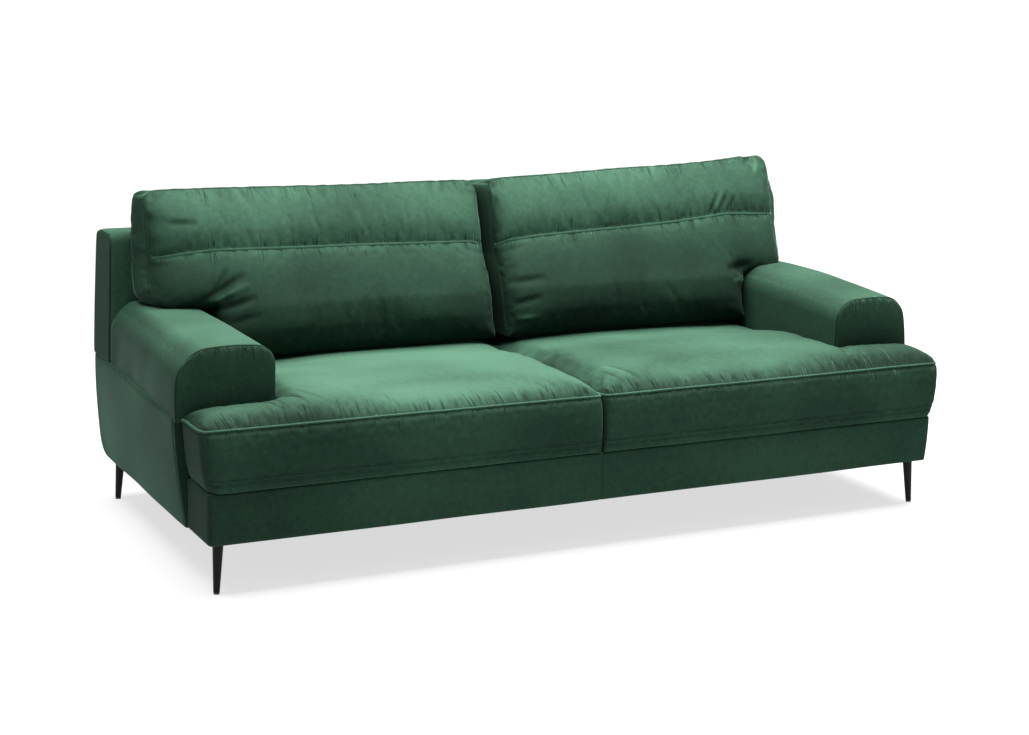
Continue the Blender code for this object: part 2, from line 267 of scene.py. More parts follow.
def grained(name, dark, pale, stretch, scale, roughness, strength=0.1, depth=0.0005, metallic=0.0, gloss=0.5):
    """Any material whose colour and relief follow one noise, stretched along its grain."""
    material, nodes, shader = new_material(name)
    place = nodes.add("ShaderNodeMapping", {"Vector": nodes.place(), "Scale": stretch})
    grain = nodes.noise(place, scale, 5.0, 0.6)
    nodes.feed(shader, {
        "Base Color": nodes.tones(grain, (0.35, dark), (0.65, pale)),
        "Normal": nodes.bump(grain, strength, depth),
        "Roughness": roughness,
        "Metallic": metallic,
        "Specular IOR Level": gloss,
    })
    return material


def woven(name, dark, pale, threads, roughness):
    """A plain weave: two crossing sets of bands give colour and relief."""
    material, nodes, shader = new_material(name)
    band = {"Vector": nodes.place(), "Scale": threads}
    bands = [nodes.add("ShaderNodeTexWave", band, "Fac", bands_direction=axis) for axis in ("X", "Z")]
    weave = nodes.maths("MULTIPLY", *bands)
    nodes.feed(shader, {
        "Base Color": nodes.tones(weave, (0.1, dark), (0.8, pale)),
        "Normal": nodes.bump(weave, 0.4, 0.0006),
        "Roughness": roughness,
    })
    return material


# ---------------------------------------------------------------- grids

def spaced(*marks, step):
    """Grid lines through every mark, about one step apart; step is one number or one for each stretch."""
    steps = step if isinstance(step, tuple) else (step,) * (len(marks) - 1)
    lines = [marks[0]]
    for start, end, size in zip(marks, marks[1:], steps):
        count = max(1, round((end - start) / size))
        lines.extend(start + (end - start) * (i + 1) / count for i in range(count))
    return np.array(lines)


def nearest(line, place):
    """The number of the grid line nearest to a place."""
    return int(np.argmin(abs(line - place)))


class Form:
    """A closed surface of quads around the filled cells of a grid.

    flat holds the points as the grid has them, and stays so; points holds them as shaped."""

    def __init__(self, xs, ys, zs, filled=None):
        self.lines = (xs, ys, zs)
        counts = tuple(len(line) for line in self.lines)
        if filled is None:
            filled = np.ones([count - 1 for count in counts], bool)
        padded = np.pad(filled, 1)
        quads = []
        for axis in range(3):
            for step in (-1, 1):
                beyond = np.roll(padded, -step, axis)[1:-1, 1:-1, 1:-1]
                cell = list(np.nonzero(filled & ~beyond))
                if step > 0:
                    cell[axis] = cell[axis] + 1
                first, second = [other for other in range(3) if other != axis]
                corners = []
                for across, along in ((0, 0), (1, 0), (1, 1), (0, 1)):
                    corner = list(cell)
                    corner[first] = corner[first] + across
                    corner[second] = corner[second] + along
                    corners.append(np.ravel_multi_index(corner, counts))
                turned = (step < 0) != (axis == 1)
                faces = np.stack(corners, 1)
                quads.append(faces[:, ::-1] if turned else faces)
        used, quads = np.unique(np.concatenate(quads), return_inverse=True)
        self.quads = quads.reshape(-1, 4)
        self.grid = np.stack(np.unravel_index(used, counts), 1)
        self.number = {tuple(place): index for index, place in enumerate(self.grid.tolist())}
        self.flat = np.stack([line[self.grid[:, axis]] for axis, line in enumerate(self.lines)], 1)
        self.points = self.flat.copy()

    def on(self, axis, line):
        """1 on the points of one grid line across an axis, and 0 elsewhere; -1 is the last line."""
        return (self.grid[:, axis] == line % len(self.lines[axis])).astype(float)

    def chain(self, *stops):
        """The point numbers along straight runs of the grid from stop to stop; -1 is the last line."""
        counts = [len(line) for line in self.lines]
        stops = [[index % count for index, count in zip(stop, counts)] for stop in stops]
        found = [self.number[tuple(stops[0])]]
        for start, end in zip(stops, stops[1:]):
            length = max(abs(b - a) for a, b in zip(start, end))
            for i in range(1, length + 1):
                place = tuple(a + round((b - a) * i / length) for a, b in zip(start, end))
                found.append(self.number[place])
        return found

    def object(self, name, sign=1):
        """The mesh object; a sign of -1 mirrors it to the left."""
        points = self.points * (sign, 1, 1)
        quads = self.quads if sign > 0 else self.quads[:, ::-1]
        data = bpy.data.meshes.new(name)
        data.from_pydata(points.tolist(), [], quads.tolist())
        data.shade_smooth()
        piece = bpy.data.objects.new(name, data)
        bpy.context.scene.collection.objects.link(piece)
        return piece


def smooth_step(value):
    value = np.clip(value, 0.0, 1.0)
    return value * value * (3.0 - 2.0 * value)


def swell(inside, first, second, reach):
    """From 0 at the edge of a flat region to 1 well inside it, smoothly round its corners.

    inside marks the grid points between the lines first and second."""
    width = np.maximum(np.gradient(first)[:, None], 1e-6) * np.ones(len(second))
    depth = np.maximum(np.gradient(second)[None, :], 1e-6) * np.ones((len(first), 1))
    side_share, end_share = (reach / width) ** 2, (reach / depth) ** 2
    height = np.zeros(inside.shape)
    padded = np.pad(height, 1)
    for _ in range(700):
        beside = side_share * (padded[2:, 1:-1] + padded[:-2, 1:-1])
        ahead = end_share * (padded[1:-1, 2:] + padded[1:-1, :-2])
        height = np.where(inside, (beside + ahead + 1.0) / (2 * side_share + 2 * end_share + 1.0), 0.0)
        padded[1:-1, 1:-1] = height
    return np.sqrt(np.clip(1.0 - (1.0 - height) ** 2, 0.0, 1.0))


def round_corner(first, second, corner, inward, radius):
    """Pulls the points near a right-angled corner onto rings of that radius, in two coordinates at once."""
    along = (first - (corner[0] + inward[0] * radius)) * -inward[0] / radius
    across = (second - (corner[1] + inward[1] * radius)) * -inward[1] / radius
    near = (along > 0) & (across > 0)
    a, b = np.clip(along, 0, 1), np.clip(across, 0, 1)
    rounded_first = corner[0] + inward[0] * radius * (1 - a * np.sqrt(1 - b * b / 2))
    rounded_second = corner[1] + inward[1] * radius * (1 - b * np.sqrt(1 - a * a / 2))
    return np.where(near, rounded_first, first), np.where(near, rounded_second, second)


def mottle(points, scale, seed):
    """Smooth noise in about -1 to 1 at every point."""
    shift = Vector((seed * 7.31, seed * 3.17, seed * 5.53))
    return np.array([noise.noise(Vector(point) * scale + shift) for point in points.tolist()])


# ---------------------------------------------------------------- gathers and folds, as heights

def gathers(seed, along, away, start, end, spacing, length, height, width, lean=0.12):
    """Puckers along a seam: short ridges and creases that start at the stitches, spread and fade.

    along is the place along the seam and away the distance from it, both in metres. The puckers lie between
    start and end, about one spacing apart, each at most about length long and height high."""
    draw = np.random.default_rng(seed)
    total = np.zeros(len(along))
    for place in np.arange(start, end, spacing):
        at = place + draw.uniform(-0.45, 0.45) * spacing
        busy = 0.65 + 0.6 * noise.noise(Vector((at * 9.0, seed * 3.7, 0.0)))
        reach = length * draw.uniform(0.35, 1.0) ** 1.5 * busy * 1.4
        tall = height * draw.uniform(0.4, 1.0) * busy * draw.choice((-1.0, 0.6), p=(0.7, 0.3))
        slant = draw.normal(0.0, lean)
        wide = width * draw.uniform(0.8, 1.4)
        near = (away > 0) & (away < reach) & (abs(along - at - slant * away) < 5 * wide)
        distance = away[near]
        spread = wide * (1.0 + distance / reach)
        profile = np.exp(-(abs((along[near] - at - slant * distance) / spread) ** 1.4))
        total[near] += tall * (1.0 - np.exp(-distance / 0.004)) * (1.0 - distance / reach) * profile
    return total


def gathered(seed, *seams):
    """The gathers along several seams: for each, where it shows, from 0 to 1, then what gathers() takes."""
    return sum(shown * gathers(seed + number, *seam) for number, (shown, *seam) in enumerate(seams))


def fold(first, second, start, end, width, height):
    """One soft fold from start to end across a panel, as a height over its two flat coordinates."""
    run = end[0] - start[0], end[1] - start[1]
    length = math.hypot(*run)
    share = ((first - start[0]) * run[0] + (second - start[1]) * run[1]) / length**2
    across = ((first - start[0]) * run[1] - (second - start[1]) * run[0]) / length
    taper = np.sin(np.pi * np.clip(share, 0.0, 1.0)).clip(0.0) ** 0.7
    return height * taper * np.exp(-((across / width) ** 2))


# ---------------------------------------------------------------- soft pieces

def read_points(piece):
    found = np.empty(len(piece.data.vertices) * 3)
    piece.data.vertices.foreach_get("co", found)
    return found.reshape(-1, 3)


def write_points(piece, points):
    piece.data.vertices.foreach_set("co", points.ravel())
    piece.data.update()


def store(data, name, values):
    """Stores one number for each point, which the velvet reads by that name."""
    data.attributes.new(name, "FLOAT", "POINT").data.foreach_set("value", values.astype(np.float32))


def read_normals(piece):
    found = np.empty(len(piece.data.vertices) * 3)
    piece.data.vertex_normals.foreach_get("vector", found)
    return found.reshape(-1, 3)


# Painted shade in creases and painted light on ridges, per metre of height.
PAINTED_SHADE_OF_HEIGHT = 180.0


def lift(piece, heights, top=0.0, front=0.0, left=0.0, right=0.0, rear=-0.3, extra_painted_light=0.0):
    """Moves every point along its normal, and stores painted light and shade: -1 is darkest, 1 palest.

    Each side that the normal faces gets its own painted light or shade, blended by the normal, and ridges are
    painted paler and creases darker."""
    normals = read_normals(piece)
    write_points(piece, read_points(piece) + normals * heights[:, None])
    x, y, z = normals.T
    painted_light_level = x**2 * np.where(x < 0, left, right) + y**2 * np.where(y < 0, front, rear) + z**2 * top
    painted_light_level = np.clip(painted_light_level + extra_painted_light + PAINTED_SHADE_OF_HEIGHT * heights, -1.0, 1.0)
    store(piece.data, "painted_light_and_shade", painted_light_level)


def pleat(piece, along, near):
    """Stores what the velvet needs to draw the creases at a gathered seam, as bumps with painted shade in
    them.
    """
    store(piece.data, "pleat_along", along)
    store(piece.data, "pleat_near", np.clip(near, 0.0, 1.0))


def inflate(piece, held, seed, spare=0.018, most=0.012):
    """Blows the piece up by cloth simulation, with a little spare cloth so that it wrinkles.

    held is 1 where the cloth is sewn or rests on something, and near 0 where it is free. No point moves
    further than most."""
    scene = bpy.context.scene
    before = read_points(piece)
    jitter = np.random.default_rng(seed).normal(0.0, 0.0004, len(before))
    write_points(piece, before + read_normals(piece) * (jitter * (held < 0.5))[:, None])
    group = piece.vertex_groups.new(name="held")
    for level in np.unique(np.round(held, 2)):
        numbers = np.nonzero(np.round(held, 2) == level)[0]
        group.add(numbers.tolist(), float(level), "REPLACE")
    cloth = piece.modifiers.new("cloth", "CLOTH")
    settings = cloth.settings
    settings.quality = 5
    settings.mass = 0.25
    settings.use_pressure = True
    settings.uniform_pressure_force = 4.0
    settings.shrink_min = -spare
    settings.tension_stiffness = 25.0
    settings.compression_stiffness = 25.0
    settings.shear_stiffness = 6.0
    settings.bending_stiffness = 0.35
    settings.effector_weights.gravity = 0.0
    settings.vertex_group_mass = "held"
    settings.pin_stiffness = 1.0
    cloth.point_cache.frame_start = 1
    cloth.point_cache.frame_end = 20
    for number in range(1, 21):
        scene.frame_set(number)
    graph = bpy.context.evaluated_depsgraph_get()
    blown = piece.evaluated_get(graph).to_mesh()
    after = np.empty(len(before) * 3)
    blown.vertices.foreach_get("co", after)
    piece.evaluated_get(graph).to_mesh_clear()
    piece.modifiers.clear()
    piece.vertex_groups.clear()
    scene.frame_set(1)
    moved = after.reshape(-1, 3) - before
    distance = np.maximum(np.linalg.norm(moved, axis=1), 1e-9)
    kept = most * np.tanh(distance / most)
    write_points(piece, before + moved * (kept / distance)[:, None])


def refine(piece, form, *fields):
    """One level of Catmull-Clark, applied. Returns the flat coordinates and the fields at the new points.

    The first new points are the old ones, then come those of the edges, then those of the faces."""
    fields = np.column_stack((form.flat, *fields))
    edges = np.empty(len(piece.data.edges) * 2, np.int64)
    piece.data.edges.foreach_get("vertices", edges)
    quads = np.empty(len(piece.data.loops), np.int64)
    piece.data.loops.foreach_get("vertex_index", quads)
    edges, quads = edges.reshape(-1, 2), quads.reshape(-1, 4)
    modifier = piece.modifiers.new("smooth", "SUBSURF")
    modifier.levels = 1
    modifier.render_levels = 1
    graph = bpy.context.evaluated_depsgraph_get()
    made = bpy.data.meshes.new_from_object(piece.evaluated_get(graph))
    old = piece.data
    piece.modifiers.clear()
    piece.data = made
    bpy.data.meshes.remove(old)
    piece.data.name = piece.name
    piece.data.shade_smooth()
    return np.concatenate((fields, fields[edges].mean(1), fields[quads].mean(1))).T


def dress(piece, material, slot, *nodes, fill=None):
    """Gives a piece its material and its body, and hides the CAD nodes that it stands for. The slot is not
    used.
    """
    piece.data.materials.clear()
    piece.data.materials.append(material)
    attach(piece, "root")
    if nodes:
        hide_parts(*nodes)


# ---------------------------------------------------------------- welts and stitches

def resampled(points, normals, step):
    """The path again with points one step apart."""
    length = np.concatenate(([0.0], np.cumsum(np.linalg.norm(np.diff(points, axis=0), axis=1))))
    marks = np.linspace(0.0, length[-1], max(2, round(length[-1] / step) + 1))
    place = np.stack([np.interp(marks, length, points[:, axis]) for axis in range(3)], 1)
    facing = np.stack([np.interp(marks, length, normals[:, axis]) for axis in range(3)], 1)
    ahead = np.gradient(place, axis=0)
    ahead /= np.linalg.norm(ahead, axis=1)[:, None]
    facing -= (facing * ahead).sum(1)[:, None] * ahead
    facing /= np.linalg.norm(facing, axis=1)[:, None]
    return place, facing, ahead, np.cross(ahead, facing)


def eased(points, times=2):
    """The path with its small kinks smoothed out, and its ends kept."""
    for _ in range(times):
        points = np.concatenate((points[:1], (points[:-2] + 2 * points[1:-1] + points[2:]) / 4, points[-1:]))
    return points


class Trim:
    """The welts or stitches of one piece, gathered into one mesh."""

    def __init__(self):
        self.points = []
        self.faces = []
        self.count = 0

    def add(self, points, faces):
        self.points.append(points.reshape(-1, 3))
        self.faces.extend((np.asarray(faces) + self.count).tolist())
        self.count += len(self.points[-1])

    def welt(self, points, normals, wide=0.0030, tall=0.0026, sink=0.0008):
        """A rounded cord along a path, half buried in the seam."""
        place, facing, _, beside = resampled(points, normals, 0.006)
        place = place - facing * sink
        turns = np.arange(8) * math.pi / 4
        rings = (
            place[:, None]
            + beside[:, None] * (np.cos(turns) * wide)[None, :, None]
            + facing[:, None] * (np.sin(turns) * tall)[None, :, None]
        )
        start = np.arange(len(place) - 1)[:, None] * 8
        now, after = np.arange(8), (np.arange(8) + 1) % 8
        sides = np.stack((start + now, start + after, start + 8 + after, start + 8 + now), 2)
        ends = [list(range(8))[::-1], [(len(place) - 1) * 8 + i for i in range(8)]]
        self.add(rings, sides.reshape(-1, 4))
        self.faces.extend([[index + self.count - len(place) * 8 for index in end] for end in ends])

    def stitches(self, points, normals, aside=0.0, pitch=0.0062, length=0.0042, wide=0.0007, tall=0.0007):
        """Short rounded threads along a path, moved aside from it."""
        place, facing, ahead, beside = resampled(points, normals, pitch)
        place = place + beside * aside + facing * tall * 0.6
        tips = np.stack(
            (
                place + ahead * length / 2,
                place + beside * wide,
                place - ahead * length / 2,
                place - beside * wide,
                place + facing * tall,
                place - facing * tall,
            ),
            1,
        )
        corners = [(0, 1, 4), (1, 2, 4), (2, 3, 4), (3, 0, 4), (1, 0, 5), (2, 1, 5), (3, 2, 5), (0, 3, 5)]
        first = np.arange(len(place))[:, None, None] * 6
        self.add(tips, (first + np.array(corners)[None]).reshape(-1, 3))

    def finish(self, name, material, painted_light_and_shade=0.0):
        data = bpy.data.meshes.new(name)
        data.from_pydata(np.concatenate(self.points).tolist(), [], self.faces)
        # Painted light or shade, one value for the whole trim.
        store(data, "painted_light_and_shade", np.full(self.count, painted_light_and_shade))
        data.shade_smooth()
        piece = bpy.data.objects.new(name, data)
        bpy.context.scene.collection.objects.link(piece)
        dress(piece, material, "velvet")


def seam_path(piece, numbers, out=0.0):
    """Places and normals along a seam of a finished piece, eased a little."""
    points, normals = read_points(piece)[numbers], read_normals(piece)[numbers]
    normals = eased(normals, 3)
    return eased(points + normals * out), normals


# ---------------------------------------------------------------- seat cushions

# Two cushions side by side touch: each starts this far from the middle of the sofa.
TOUCHING = 0.0006
SEAM_INNER, SEAM_OUTER = 0.406, 0.409
# The radius of the upright front corner next to the middle, at its foot and at its seam.
INNER_CORNER = {"left": (0.012, 0.020), "right": (0.012, 0.046)}
# Heights of the two rows of stitches near the foot of the front.
SEAT_LINES = (0.279, 0.293)
SEAT_CROWN = 0.047
SEAT_LEAN_BACK = 0.018
# How far each wing reaches from the middle of the sofa.
WING_END = {"left": 1.080, "right": 1.099}
WING_FLATTER = {"left": 0.28, "right": 0.0}
# How far the front and the outer end stand out of the seam, from the foot of the boxing up to the seam.
BOXING_UP = (0.0, 0.1, 0.3, 0.55, 0.8, 0.93, 1.0)
FRONT_OUT = (0.011, 0.014, 0.017, 0.018, 0.015, 0.010, 0.0)
END_OUT = (-0.020, -0.013, -0.006, -0.002, 0.001, 0.002, 0.0)
# Painted light on the top of each seat cushion, paler on the left.
SEAT_PAINTED_LIGHT = {"left": 0.70, "right": 0.18}
SEAT_FOLDS = {
    "left": (
        ((0.820, -0.350), (0.790, -0.460), 0.005, -0.0026),
        ((0.795, -0.345), (0.752, -0.440), 0.005, -0.0022),
        ((0.860, -0.360), (0.850, -0.460), 0.005, -0.0024),
    ),
    "right": (
        ((0.830, -0.350), (0.790, -0.460), 0.008, -0.0016),
        ((0.045, -0.380), (0.075, -0.465), 0.006, -0.0034),
        ((0.060, -0.360), (0.105, -0.462), 0.007, 0.0030),
        ((0.080, -0.370), (0.135, -0.466), 0.006, -0.0026),
    ),
}


def seat_form(side):
    """The right seat cushion, or the left one mirrored: boxed, with a wing in front of the arm."""
    low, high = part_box("seat_cover_right")
    arm_low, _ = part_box("arm_cover_right")
    notch_x, notch_y = arm_low.x - 0.002, arm_low.y - 0.002
    front_y = low.y + SEAT_LEAN_BACK
    wing_end = WING_END[side]
    xs = spaced(TOUCHING, notch_x, wing_end, step=0.0058)
    ys = spaced(front_y, notch_y, 0.060, high.y, step=(0.0085, 0.016, 0.035))
    zs = spaced(low.z, *SEAT_LINES, SEAM_OUTER, step=(0.0075, 0.0047, 0.011))
    notch_i, notch_j = nearest(xs, notch_x), nearest(ys, notch_y)
    filled = np.ones((len(xs) - 1, len(ys) - 1, len(zs) - 1), bool)
    filled[notch_i:, notch_j:, :] = False
    form = Form(xs, ys, zs, filled)
    form.notch = notch_i, notch_j

    inside = np.zeros((len(xs), len(ys)), bool)
    inside[1:-1, 1:-1] = True
    crown = swell(inside, xs, ys, 0.085)
    i, j, k = form.grid.T
    x, y, z = form.points.T.copy()
    up = (z - low.z) / (SEAM_OUTER - low.z)
    inner = np.hypot(np.clip(notch_x - x, 0, None), np.clip(notch_y - y, 0, None))
    pressed = 1.0 - 0.30 * np.exp(-inner / 0.014)
    rear = 1.0 - (0.50 + 0.25 * smooth_step((x - 0.45) / 0.35)) * smooth_step((y + 0.20) / 0.30)

    x, y = round_corner(x, y, (wing_end, front_y), (-1, 1), 0.036)
    foot_radius, seam_radius = INNER_CORNER[side]
    inner_radius = foot_radius + (seam_radius - foot_radius) * smooth_step(up)
    x, y = round_corner(x, y, (TOUCHING, front_y), (1, 1), inner_radius)
    wing = smooth_step((x - 0.80) / 0.28)
    front = 1.0 - smooth_step((y - front_y) / 0.10)
    x = x + wing * np.interp(up, BOXING_UP, END_OUT)
    y = y - front * np.interp(up, BOXING_UP, FRONT_OUT)

    seam = SEAM_INNER + (SEAM_OUTER - SEAM_INNER) * x / wing_end
    z = low.z + (seam - low.z) * up
    flatter = 1.0 - WING_FLATTER[side] * smooth_step((x - 0.80) / 0.10)
    z = z + np.where(k == len(zs) - 1, SEAT_CROWN * crown[i, j] * pressed * rear * flatter, 0.0)
    form.points = np.stack((x, y, z), 1)
    return form


def seat_held(form):
    """1 on the seams, the underside and the hidden walls, and nearly 0 on the top and the front."""
    i, j, k = form.grid.T
    last_i, last_j, last_k = (len(line) - 1 for line in form.lines)
    notch_i, notch_j = form.notch
    held = np.full(len(form.grid), 0.02)
    seam = (k == last_k) & ((i == 0) | (j == 0) | (i == last_i))
    walls = (k == 0) | (j == last_j) | ((i == notch_i) & (j >= notch_j)) | ((j == notch_j) & (i >= notch_i))
    held[seam | walls | ((i == 0) & (k < last_k))] = 1.0
    held[(k > 0) & (k < last_k) & (j == 0)] = 0.45
    held[(k > 0) & (k < last_k) & (i == last_i)] = 0.90
    return held


def seat_cushions(material, thread):
    for side, sign in SIDES.items():
        form = seat_form(side)
        low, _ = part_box("seat_cover_right")
        piece = form.object(f"seat_cushion_{side}", sign)
        inflate(piece, seat_held(form), seed=11 + sign)
        along, away, up, top, face = refine(piece, form, form.on(Z, -1), form.on(Y, 0))
        depth = away - form.lines[1][0]
        below = SEAM_OUTER - up
        seed = 40 + 3 * sign
        heights = gathered(
            seed,
            (top, along, depth, 0.03, 1.06, 0.0115, 0.080, 0.0048, 0.0034),
            (top, away, form.lines[X][-1] - along, -0.46, -0.34, 0.014, 0.050, 0.0034, 0.0045),
            (top, away, along - low.x, -0.47, 0.06, 0.018, 0.055, 0.0034, 0.0050, 0.3),
            (face, along, below, 0.02, 1.08, 0.013, 0.038, 0.0016, 0.0034, 0.06),
            (face, along, up - low.z, 0.02, 1.08, 0.030, 0.026, 0.0010, 0.006),
        )
        for level in SEAT_LINES:
            heights -= face * 0.0016 * np.exp(-(((up - level) / 0.0035) ** 2))
        for start, end, width, height in SEAT_FOLDS[side]:
            heights += top * fold(along, away, start, end, width, height)
        heights += 0.0016 * mottle(read_points(piece), 6.0, seed) * np.clip(top + face, 0, 1)
        pleat(piece, along + sign, top * (1.0 - depth / 0.080) + face * 0.7 * (1.0 - below / 0.045))
        # Painted shade: darker towards the outer end of the top, just behind the front seam and just below it.
        shade = -0.75 * top * smooth_step((along - 0.68) / 0.25)
        shade -= 0.35 * top * smooth_step(1.0 - depth / 0.055)
        shade -= 0.55 * face * smooth_step(1.0 - below / 0.030)
        # Painted light on the top; painted shade on the front, the ends and the rear.
        lift(piece, heights, top=SEAT_PAINTED_LIGHT[side], front=-0.25, left=-1.0, right=-0.8, extra_painted_light=shade)
        dress(piece, material, "velvet", f"seat_cover_{side}", f"seat_core_{side}", fill=0.8)

        welt, stitch = Trim(), Trim()
        hidden_j = nearest(form.lines[Y], 0.075)
        around = form.chain((0, hidden_j, -1), (0, 0, -1), (-1, 0, -1), (-1, form.notch[1], -1))
        points, normals = seam_path(piece, around)
        welt.welt(points, normals, 0.0034, 0.0032, -0.0010)
        for aside in (-0.0042, 0.0042):
            stitch.stitches(points, normals, aside)
        for level in SEAT_LINES:
            row = nearest(form.lines[Z], level)
            stitch.stitches(*seam_path(piece, form.chain((4, 0, row), (-6, 0, row))), pitch=0.0068)
        # The front welt is painted a little paler.
        welt.finish(f"seat_welt_{side}", material, painted_light_and_shade=0.45)
        stitch.finish(f"seat_thread_{side}", thread)


# ---------------------------------------------------------------- back cushions

# The height at which the grid has its tuck. Then the heights above the floor of the tuck and of the top, along
# each cushion from the middle of the sofa outwards.
TUCK_LEVEL = 0.726
TUCK = {
    "left": ((0.02, 0.706), (0.06, 0.718), (0.35, 0.725), (0.83, 0.731), (0.90, 0.726), (0.99, 0.713)),
    "right": ((0.01, 0.698), (0.06, 0.716), (0.16, 0.726), (0.60, 0.744), (0.80, 0.758), (0.98, 0.749)),
}
TOP = {
    "left": ((0.02, 0.886), (0.50, 0.885), (0.97, 0.889)),
    "right": ((0.02, 0.885), (0.30, 0.895), (0.60, 0.906), (0.80, 0.917), (0.90, 0.924), (0.97, 0.930)),
}
# The lean of the front seam, the rear and how far the front stands out of its seam, by height.
SEAM_Z = (0.427, 0.500, 0.582, 0.636, 0.700, 0.773, 0.854, 0.880)
SEAM_Y = (0.1125, 0.1485, 0.1715, 0.2005, 0.2365, 0.2525, 0.2825, 0.2900)
FULL_Z = (0.450, 0.520, 0.600, 0.680, 0.730, 0.780, 0.840, 0.880)
FULL_OUT = (0.050, 0.068, 0.064, 0.064, 0.062, 0.052, 0.032, 0.010)
REAR_Z, REAR_OUT = (0.430, 0.745, 0.800, 0.880), (0.0, 0.0, 0.036, 0.040)
# How far the outer end stands out, and how far the front seam keeps off the neighbouring cushion.
BACK_END_OUT = {"left": 0.026, "right": 0.044}
# How much lower the top is at its rear seam than at its front seam.
CAP_FALL = 0.030
BACK_GAP = {"left": 0.010, "right": 0.028}
# Painted shade on the whole front of the right back cushion.
BACK_PAINTED_SHADE = {"left": 0.0, "right": -0.12}
BACK_FOLDS = {
    "left": (
        ((0.880, 0.600), (0.750, 0.665), 0.008, -0.0060),
        ((0.865, 0.592), (0.745, 0.640), 0.007, 0.0040),
        ((0.845, 0.575), (0.725, 0.605), 0.009, -0.0060),
        ((0.855, 0.605), (0.800, 0.680), 0.007, -0.0040),
        ((0.820, 0.540), (0.720, 0.560), 0.009, -0.0030),
        ((0.955, 0.800), (0.860, 0.790), 0.006, -0.004),
    ),
    "right": (
        ((0.735, 0.722), (0.775, 0.786), 0.0045, -0.0038),
        ((0.752, 0.724), (0.795, 0.790), 0.0045, 0.0026),
        ((0.770, 0.724), (0.818, 0.792), 0.0045, -0.0036),
        ((0.800, 0.726), (0.845, 0.778), 0.0045, -0.0026),
        ((0.870, 0.610), (0.760, 0.600), 0.012, -0.008),
        ((0.860, 0.580), (0.780, 0.560), 0.010, 0.005),
        ((0.030, 0.600), (0.150, 0.610), 0.009, -0.0050),
        ((0.030, 0.540), (0.130, 0.560), 0.009, -0.0055),
        ((0.030, 0.500), (0.120, 0.505), 0.008, 0.0040),
        ((0.940, 0.880), (0.900, 0.850), 0.007, -0.0050),
        ((0.955, 0.860), (0.925, 0.820), 0.007, 0.0045),
    ),
}


def back_form(side):
    """The right back cushion, or the left one mirrored: boxed, leaning, with an ear over the arm."""
    low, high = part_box("back_cushion_cover_right")
    arm_low, arm_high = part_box("arm_cover_right")
    notch_x, ear_z, top_z = arm_low.x - 0.003, arm_high.z + 0.004, high.z - 0.030
    xs = spaced(TOUCHING, notch_x, high.x, step=0.0074)
    ys = spaced(0.0, 1.0, step=1 / 12)
    zs = spaced(low.z - 0.010, ear_z, TUCK_LEVEL, top_z, step=0.0082)
    notch_i, notch_k = nearest(xs, notch_x), nearest(zs, ear_z)
    filled = np.ones((len(xs) - 1, len(ys) - 1, len(zs) - 1), bool)
    filled[notch_i:, :, :notch_k] = False
    form = Form(xs, ys, zs, filled)
    form.notch = notch_i, notch_k
    form.tuck = nearest(zs, TUCK_LEVEL)

    inside = np.zeros((len(xs), len(zs)), bool)
    inside[1:-1, 1:-1] = True
    inside[notch_i:, : notch_k + 1] = False
    crown = swell(inside, xs, zs, 0.095)
    i, j, k = form.grid.T
    x, through, z = form.points.T.copy()
    at_x = x.copy()
    x, z = round_corner(x, z, (high.x, top_z), (-1, -1), 0.038)
    x, z = round_corner(x, z, (TOUCHING, top_z), (1, -1), 0.035)
    x, z = round_corner(x, z, (high.x, ear_z), (-1, 1), 0.045)

    y_seam = np.interp(z, SEAM_Z, SEAM_Y)
    rear = high.y + np.interp(z, REAR_Z, REAR_OUT)
    y = y_seam + (rear - y_seam) * through
    above = z - TUCK_LEVEL
    pinch = 0.005 * np.exp(-((above / 0.008) ** 2)) + 0.004 * np.exp(-((above / 0.030) ** 2))
    full = crown[i, k]
    y = y - (j == 0) * (np.interp(z, FULL_Z, FULL_OUT) * full - pinch * smooth_step(full * 1.5))
    puff = np.sin(np.pi * through)
    z = z + (0.002 * puff - CAP_FALL * through) * (k == len(zs) - 1)
    x = x + puff * BACK_END_OUT[side] * (i == len(xs) - 1) * (1.0 - 0.60 * smooth_step((z - 0.74) / 0.12))
    x = x + BACK_GAP[side] * np.exp((TOUCHING - at_x) / 0.03) * (1 - through) ** 2

    near_tuck = 1.0 - smooth_step(abs(z - TUCK_LEVEL) / 0.12)
    z = z + (np.interp(at_x, *zip(*TUCK[side])) - TUCK_LEVEL) * near_tuck
    near_top = smooth_step((z - TUCK_LEVEL) / (top_z - TUCK_LEVEL))
    z = z + (np.interp(at_x, *zip(*TOP[side])) - top_z) * near_top
    form.points = np.stack((x, y, z), 1)
    return form


def back_held(form):
    i, j, k = form.grid.T
    last_i, last_j, last_k = (len(line) - 1 for line in form.lines)
    notch_i, notch_k = form.notch
    held = np.full(len(form.grid), 0.02)
    held[(j > 0) & (j < last_j)] = 0.15
    notch = ((i == notch_i) & (k <= notch_k)) | ((k == notch_k) & (i >= notch_i))
    rim = (i == 0) | (i == last_i) | (k == 0) | (k == last_k) | notch
    held[(j == 0) & rim] = 1.0
    held[(k == 0) | ((j == last_j) & ((k < last_k - 18) | rim)) | notch | ((i == 0) & (j > 0))] = 1.0
    held[(j == 0) & (k == form.tuck)] = 1.0
    return held


